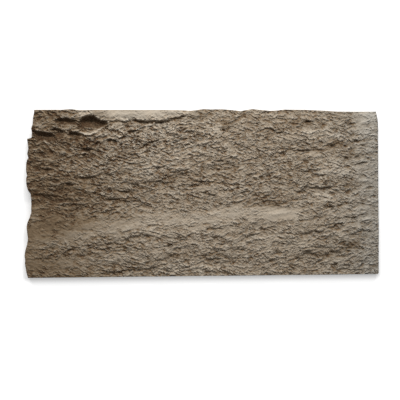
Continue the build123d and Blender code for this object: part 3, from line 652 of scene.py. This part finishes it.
# Heights of the layers of relief between the ledges, in millimetres
SWELL_HEIGHT = 2.2
FACET_HEIGHT = 2.0
SMALL_FACET_HEIGHT = 1.0
WRINKLE_HEIGHT = 2.5
SMALL_WRINKLE_HEIGHT = 1.5
FACE_DROP = 2.5  # lowers the face again, as wrinkles only add to it
FACET_LEAN = (0.1, 0.6)  # tilt and spread


def riven_face():
    """The relief of the face, in millimetres above the back, and the painted shade and painted highlight that
    follow its ledges.
    """
    ledges, paint = read_ledges()
    height = cad_face() + ledges
    height -= scattered_flakes()
    height += SWELL_HEIGHT * crossed(wide_zone, (8, -5), wander, 110, 17, 30)
    height += FACET_HEIGHT * strength * crossed(wide_zone, (12, -12), facets, 60, 16, 31, *FACET_LEAN)
    height += SMALL_FACET_HEIGHT * strength * crossed(fine_zone, (-16, 14), facets, 36, 10, 32, *FACET_LEAN)
    height += WRINKLE_HEIGHT * strength * abs(crossed(wide_zone, (14, -14), wander, 60, 13, 33))
    height += SMALL_WRINKLE_HEIGHT * strength * abs(crossed(fine_zone, (-20, 18), wander, 32, 8, 34))
    return height - FACE_DROP, paint


relief, ledge_shading = riven_face()

# Tone of the paint, where 1 is the lightest, with painted shade in the hollows and painted highlight on the
# high places, and its warmth
MIDDLE_TONE = 0.5
SMALL_RELIEF_SHADING = 0.13  # how much lighter the paint gets with each millimetre of small relief: painted highlight on rises, painted shade in hollows
LARGE_RELIEF_SHADING = 0.03  # and of large relief, also as painted shade and highlight
MOTTLE = 0.06  # how far the tone wanders from place to place
WARMTH_MOTTLE = 0.14


def paint_tone_and_shade():
    """How light the paint is, from 0 in the hollows to 1 on the high places: painted shade in the hollows,
    painted highlight on the high places.
    """
    small = relief - blur(relief, 3, 3)
    small = np.where(small > 0, 0.5 * small, small)
    large = relief - blur(relief, 10, 8)
    mottle = MOTTLE * wander(X, Y, 80, 18, 71)
    # The patches and the ledges add painted shade and painted highlight to the paint's tone
    broad = across(TONE_ACROSS) + ovals(SHADE_AND_PAINT_PATCHES) + ledge_shading
    tone = MIDDLE_TONE + SMALL_RELIEF_SHADING * small + LARGE_RELIEF_SHADING * large + mottle + broad
    return np.clip(tone, 0.10, 0.98)


face_tone_and_shade = paint_tone_and_shade()
face_warmth = across(WARMTH_ACROSS) + WARMTH_MOTTLE * wander(X, Y, 40, 24, 72)


def face_points():
    """Places of the mesh points: even inside, and following the ragged edges near them."""
    even_x = LOW.x + np.linspace(0, 1, COLUMNS)[None, :] * (HIGH.x - LOW.x)
    even_y = LOW.y + np.linspace(0, 1, ROWS)[:, None] * (HIGH.y - LOW.y)
    fade_top = smooth(1 - (HIGH.y - even_y) / TOOTH_REACH)
    fade_left = np.clip(1 - (even_x - LOW.x) / TOOTH_REACH, 0, 1)
    fade_right = np.clip(1 - (HIGH.x - even_x) / TOOTH_REACH, 0, 1)
    x = even_x + 0 * even_y
    for _ in range(EDGE_ROUNDS):
        y = even_y + fade_top * (top_at(x[-1])[None, :] - HIGH.y)
        x = even_x + fade_left * (left_at(y) - LOW.x) + fade_right * (right_at(y) - HIGH.x)
    return x, y


def placed(name, data):
    """A new object in the scene."""
    thing = bpy.data.objects.new(name, data)
    bpy.context.scene.collection.objects.link(thing)
    return thing


def build_panel():
    """The visible moulding: carved face, side walls and flat back in one closed mesh."""
    x, y = face_points()
    z = np.clip(sample(relief, x, y), THINNEST, HIGH.z)
    face = np.stack([x, y, z], axis=-1).reshape(-1, 3)
    index = np.arange(ROWS * COLUMNS).reshape(ROWS, COLUMNS)
    corners = [index[:-1, :-1], index[:-1, 1:], index[1:, 1:], index[1:, :-1]]
    quads = np.stack(corners, axis=-1).reshape(-1, 4)
    rim = np.concatenate([index[0, :-1], index[:-1, -1], index[-1, :0:-1], index[:0:-1, 0]])
    points = [face]
    faces = [tuple(q) for q in quads.tolist()]
    upper = rim
    start = len(face)
    rim_points = face[rim]
    for ring in range(1, WALL_ROWS + 1):
        lower = np.arange(start, start + len(rim))
        start += len(rim)
        ring_points = rim_points.copy()
        ring_points[:, 2] *= 1 - ring / WALL_ROWS
        points.append(ring_points)
        for k in range(len(rim)):
            after = (k + 1) % len(rim)
            faces.append((int(upper[k]), int(lower[k]), int(lower[after]), int(upper[after])))
        upper = lower
    faces.append(tuple(int(k) for k in upper[::-1]))
    mesh = bpy.data.meshes.new("stone_panel_look")
    mesh.from_pydata((np.concatenate(points) * MM).tolist(), [], faces)
    mesh.validate()
    for name, field in (("tone", face_tone_and_shade), ("warmth", face_warmth), ("grain", strength)):
        values = sample(field, x, y).ravel()
        values = np.concatenate([values] + [values[rim]] * WALL_ROWS)
        mesh.attributes.new(name, "FLOAT", "POINT").data.foreach_set("value", values.astype(np.float32))
    mesh.polygons.foreach_set("use_smooth", [True] * len(mesh.polygons))
    return placed("panel_moulding", mesh)


HALF = (0.5, 0.5, 0.5)
SCALE_LEAN = 1.2  # how far one scale of the grain leans sideways at random
SCALE_LEVEL = 0.8  # and how far it lies above or below the next ones
CREASE_DEPTH = 6.0
CREASE_DROP = 0.6  # brings the wrinkles' mean height near zero


class Graph:
    """Short ways to add and join shader nodes."""

    def __init__(self, tree):
        self.nodes, self.links = tree.nodes, tree.links

    def add(self, kind, settings=None, **inputs):
        node = self.nodes.new(kind)
        for name, value in (settings or {}).items():
            setattr(node, name, value)
        for name, value in inputs.items():
            self.join(value, node.inputs[name.replace("_", " ")])
        return node

    def join(self, value, socket):
        if isinstance(value, bpy.types.NodeSocket):
            self.links.new(value, socket)
        else:
            socket.default_value = value

    def reckon(self, kind, operation, first, second):
        node = self.add(kind, {"operation": operation})
        self.join(first, node.inputs[0])
        self.join(second, node.inputs[1])
        return node.outputs[0]

    def math(self, operation, first, second=0.0):
        return self.reckon("ShaderNodeMath", operation, first, second)

    def vector(self, operation, first, second=(0, 0, 0)):
        return self.reckon("ShaderNodeVectorMath", operation, first, second)

    def attribute(self, name):
        return self.add("ShaderNodeAttribute", {"attribute_name": name}).outputs["Fac"]

    def stretch(self, value, low, high, to_low, to_high, **settings):
        return self.add("ShaderNodeMapRange", settings, Value=value, From_Min=low, From_Max=high,
                        To_Min=to_low, To_Max=to_high).outputs["Result"]

    def noise(self, place, scale, detail=1.0, kind="Fac"):
        return self.add("ShaderNodeTexNoise", Vector=place, Scale=scale, Detail=detail).outputs[kind]

    def parts(self, place):
        return self.add("ShaderNodeSeparateXYZ", Vector=place).outputs

    def laid(self, place, rise, length, height):
        """The place counted in lengths along a line that rises to the right, and in heights across it."""
        return self.add("ShaderNodeMapping", {"vector_type": "TEXTURE"}, Vector=place,
                        Rotation=(0, 0, math.radians(rise)), Scale=(length, height, 1.0)).outputs["Vector"]

    def scales(self, place, rise, length, height):
        """Small flakes that overlap like scales. Each one rises to its lower edge, by about 1 in all."""
        turned = self.laid(place, rise, length, height)
        cells = self.add("ShaderNodeTexVoronoi", {"voronoi_dimensions": "2D"}, Vector=turned, Scale=1.0)
        off = self.parts(self.vector("SUBTRACT", turned, cells.outputs["Position"]))
        chance = self.parts(self.vector("SUBTRACT", cells.outputs["Color"], HALF))
        lean = self.math("MULTIPLY", off["X"], self.math("MULTIPLY", chance["X"], SCALE_LEAN))
        level = self.math("MULTIPLY", chance["Y"], SCALE_LEVEL)
        return self.math("ADD", self.math("SUBTRACT", lean, off["Y"]), level)

    def creases(self, place, rise, length, height):
        """Rounded wrinkles with sharp creases between them, by about 1 in all."""
        turned = self.laid(place, rise, length, height)
        wave = self.math("ABSOLUTE", self.math("SUBTRACT", self.noise(turned, 1.0), 0.5))
        return self.math("SUBTRACT", self.math("MULTIPLY", wave, CREASE_DEPTH), CREASE_DROP)

    def mix(self, share, first, second):
        return self.math("ADD", first, self.math("MULTIPLY", share, self.math("SUBTRACT", second, first)))

    def ramp(self, value, stops):
        """The colour that belongs to a value from 0 to 1, by stops of a place and a colour."""
        node = self.add("ShaderNodeValToRGB", Fac=value)
        marks = node.color_ramp.elements
        for mark, (place, shade) in zip(list(marks), (stops[0], stops[-1])):
            mark.position, mark.color = place, (*shade, 1)
        for place, shade in stops[1:-1]:
            marks.new(place).color = (*shade, 1)
        return node.outputs["Color"]


# Layers of the paint's grain: its form, its two rises in degrees, how wide the zones of each rise
# are, as a scale of noise, then length and height of one wrinkle or scale, and the layer's share
GRAIN_LAYERS = [
    ("scales", (-18, 20), 16, 0.022, 0.0066, 0.55),
    ("creases", (19, -17), 22, 0.028, 0.0100, 0.80),
    ("creases", (25, -23), 35, 0.017, 0.0056, 1.20),
]
ZONE_SHARPNESS = (0.46, 0.54)  # the values of noise between which one rise gives way to the other
FRAYING = (0.005, 0.0037, 0)  # how far the grain's outlines are shifted about, in metres
FRAYING_SCALE = 110
BUSY_SCALE = 45  # of the noise that makes the grain stronger in some places
BUSY_NOISE = (0.35, 0.65)
BUSY_RANGE = (0.6, 1.4)
WALL_TOP = 0.020  # below this height the grain slants down the side walls
WALL_SLANT = (1.4, 1.1, 0)  # and this is how far it moves aside there, for each metre down

# Finish of the paint, with painted shade and painted highlight that follow the grain
GRAIN_SHADING = 0.27  # how much lighter the paint gets with the height of the grain: painted highlight on its rises, painted shade in its creases
GRAIN_SHADE = 0.14  # and how much darker, as painted shade, wherever the grain is strong
CREASE_SHADE_WARMTH = 0.45  # how much warmer the painted shade gets in the low places of the grain
SPECK_SCALE = 600
SPECK_TONE = 0.05  # how much lighter or darker a speck is
BUMP_HEIGHT = 0.0041  # of the grain, in metres
SPECK_HEIGHT = 0.0006

# Colours by tone, whose darkest stops colour the painted shade, and tints by warmth
COLOURS_BY_TONE_AND_SHADE = [
    (0.0, (0.064, 0.036, 0.017)),
    (0.25, (0.164, 0.1135, 0.066)),
    (0.5, (0.254, 0.203, 0.146)),
    (1.0, (0.468, 0.402, 0.318)),
]
TINT = [(0.0, (0.90, 1.0, 1.13)), (0.5, (1, 1, 1)), (1.0, (1.15, 1.0, 0.85))]


def grain(graph, place):
    """Height of the grain, in shares of BUMP_HEIGHT: its layers, each laid in two directions."""
    shift = graph.vector("SUBTRACT", graph.noise(place, FRAYING_SCALE, 2.0, "Color"), HALF)
    frayed = graph.vector("ADD", place, graph.vector("MULTIPLY", shift, FRAYING))
    below = graph.math("SUBTRACT", WALL_TOP, graph.parts(place)["Z"])
    aside = graph.vector("MULTIPLY", graph.math("MAXIMUM", below, 0.0), WALL_SLANT)
    frayed = graph.vector("ADD", frayed, aside)
    grit = 0.0
    for kind, rises, zones, length, height, share in GRAIN_LAYERS:
        form = graph.scales if kind == "scales" else graph.creases
        zone = graph.stretch(graph.noise(place, zones), *ZONE_SHARPNESS, 0, 1)
        layer = graph.mix(zone, *[form(frayed, rise, length, height) for rise in rises])
        grit = graph.math("ADD", graph.math("MULTIPLY", layer, share), grit)
    busy = graph.stretch(graph.noise(place, BUSY_SCALE), *BUSY_NOISE, *BUSY_RANGE)
    return graph.math("MULTIPLY", grit, graph.math("MULTIPLY", graph.attribute("grain"), busy))


def paint():
    """The painted stone finish: tan on the high places with painted highlight, and painted shade of dark
    brown in the low ones.
    """
    material = bpy.data.materials.new("painted stone")
    material.use_nodes = True
    graph = Graph(material.node_tree)
    shader = graph.nodes["Principled BSDF"]
    place = graph.add("ShaderNodeTexCoord").outputs["Object"]
    grit = grain(graph, place)
    speck = graph.noise(place, SPECK_SCALE, 2.0)
    # The grain's tone is painted highlight on its rises and painted shade in its creases
    tone = graph.math("ADD", graph.attribute("tone"), graph.math("MULTIPLY", grit, GRAIN_SHADING))
    grain_shade = graph.math("MULTIPLY", graph.math("ABSOLUTE", grit), GRAIN_SHADE)
    tone = graph.math("SUBTRACT", tone, grain_shade)
    tone = graph.math("ADD", tone, graph.stretch(speck, 0.3, 0.7, -SPECK_TONE, SPECK_TONE))
    # Painted shade: the grain's low places turn warmer, as shaded stone looks
    low = graph.math("MAXIMUM", graph.math("MULTIPLY", grit, -CREASE_SHADE_WARMTH), 0.0)
    warmth = graph.math("ADD", graph.attribute("warmth"), low)
    tint = graph.ramp(graph.stretch(warmth, -1, 1, 0, 1), TINT)
    colour = graph.vector("MULTIPLY", graph.ramp(tone, COLOURS_BY_TONE_AND_SHADE), tint)
    graph.join(colour, shader.inputs["Base Color"])
    shader.inputs["Roughness"].default_value = 0.9
    shader.inputs["Specular IOR Level"].default_value = 0.2
    bump = graph.add("ShaderNodeBump", Height=grit, Strength=1.0, Distance=BUMP_HEIGHT, Filter_Width=1.0)
    fine_bump = graph.add("ShaderNodeBump", Height=speck, Strength=0.6, Distance=SPECK_HEIGHT,
                          Normal=bump.outputs["Normal"])
    graph.join(fine_bump.outputs["Normal"], shader.inputs["Normal"])
    return material


def add_camera():
    """A camera that looks almost straight down on the panel, in the photograph's view."""
    data = bpy.data.cameras.new("photo view")
    data.sensor_width = SENSOR_WIDTH
    data.lens = SENSOR_WIDTH * CAMERA_DISTANCE / (PHOTO_SIZE * MM_PER_PX * MM)
    camera = placed("photo view", data)
    turn = Matrix((VIEW_RIGHT, VIEW_UP, VIEW_AWAY)).transposed().to_4x4()
    camera.matrix_world = Matrix.Translation(VIEW_EYE) @ turn
    bpy.context.scene.camera = camera


def add_lights():
    """One soft key light from beyond the top edge and an even pale sky."""
    data = bpy.data.lights.new("key", "AREA")
    data.shape = "RECTANGLE"
    data.size, data.size_y = KEY_SIZE
    data.energy = KEY_POWER
    key = placed("key", data)
    away, height = KEY_DISTANCE * math.cos(KEY_ELEVATION), KEY_DISTANCE * math.sin(KEY_ELEVATION)
    key.location = (KEY_ASIDE, away, height)
    key.rotation_euler = (-(math.pi / 2 - KEY_ELEVATION), 0, 0)
    world = bpy.data.worlds.new("sky")
    world.use_nodes = True
    bpy.context.scene.world = world
    graph = Graph(world.node_tree)
    background = graph.nodes["Background"]
    background.inputs["Color"].default_value = (1, 1, 1, 1)
    level = graph.stretch(seen_directly(graph), 0, 1, SKY_STRENGTH, 1)
    graph.join(level, background.inputs["Strength"])


def seen_directly(graph):
    """1 for camera, glossy and transmission rays, and 0 for the light that falls on things."""
    path = graph.add("ShaderNodeLightPath").outputs
    seen = graph.math("MAXIMUM", path["Is Camera Ray"], path["Is Glossy Ray"])
    return graph.math("MAXIMUM", seen, path["Is Transmission Ray"])


def add_floor():
    """A pale level floor that renders white and keeps the panel's soft shadow, darkened next to the panel by
    painted shade.
    """
    mesh = bpy.data.meshes.new("floor")
    corners = [(-1, -1), (1, -1), (1, 1), (-1, 1)]
    mesh.from_pydata([(x * FLOOR_HALF, y * FLOOR_HALF, 0) for x, y in corners], [], [(0, 1, 2, 3)])
    floor = placed("floor", mesh)
    floor.location.z = -FLOOR_GAP
    material = bpy.data.materials.new("white floor")
    material.use_nodes = True
    graph = Graph(material.node_tree)
    graph.nodes.remove(graph.nodes["Principled BSDF"])
    place = graph.add("ShaderNodeTexCoord").outputs["Object"]
    off = graph.vector("SUBTRACT", graph.vector("ABSOLUTE", place), (HIGH.x * MM, HIGH.y * MM, 0))
    outside = graph.vector("MAXIMUM", off, (0, 0, 0))
    away = graph.add("ShaderNodeVectorMath", {"operation": "LENGTH"}, Vector=outside).outputs["Value"]
    # Weaker glow near the panel's sides: painted shade that deepens its shadow there
    glow = graph.stretch(away, 0.0, GLOW_REACH, GLOW_NEAR, GLOW_FAR, interpolation_type="SMOOTHSTEP")
    shine = graph.add("ShaderNodeEmission", Strength=graph.math("MULTIPLY", glow, seen_directly(graph)))
    matte = graph.add("ShaderNodeBsdfDiffuse", Color=FLOOR_COLOUR)
    both = graph.add("ShaderNodeAddShader")
    graph.join(matte.outputs[0], both.inputs[0])
    graph.join(shine.outputs[0], both.inputs[1])
    graph.join(both.outputs[0], graph.nodes["Material Output"].inputs["Surface"])
    mesh.materials.append(material)


add_camera()
add_lights()
add_floor()
bpy.context.scene.view_settings.view_transform = "Standard"

panel = build_panel()
panel.data.materials.append(paint())
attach(panel, "root")
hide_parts("stone_panel")
